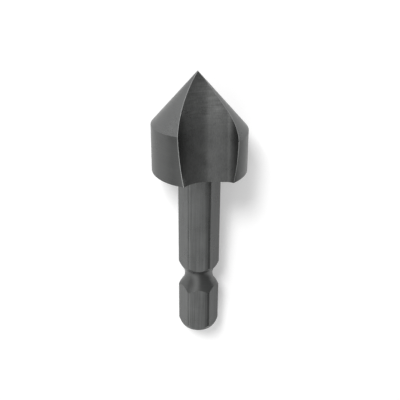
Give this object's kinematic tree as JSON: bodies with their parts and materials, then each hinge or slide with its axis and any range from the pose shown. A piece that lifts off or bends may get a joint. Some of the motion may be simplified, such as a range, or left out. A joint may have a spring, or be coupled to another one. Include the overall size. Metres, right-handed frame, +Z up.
{
  "type": "countersink bit",
  "caption": "Countersink bit with a relieved conical head, one sloped flute and a hex shank with a detent groove, for a power driver or drill.",
  "frame": {"origin": "middle of the bit's footprint on the bench, on the ground plane", "axes": "+Z up from the bench, +Y along the bit towards its point, +X towards the heel side of the flute; the bit lies flute upwards, its nose tilted up about 8.8 degrees because its head rests on its rim and its shank on its end"},
  "size_m": [0.0158, 0.0478, 0.0154],
  "materials": {
    "dark_steel": "satin oxide-darkened steel with fine grinding marks, brighter where edges are ground"
  },
  "bodies": {
    "root": {"countersink_bit": "dark_steel"}
  },
  "joints": []
}
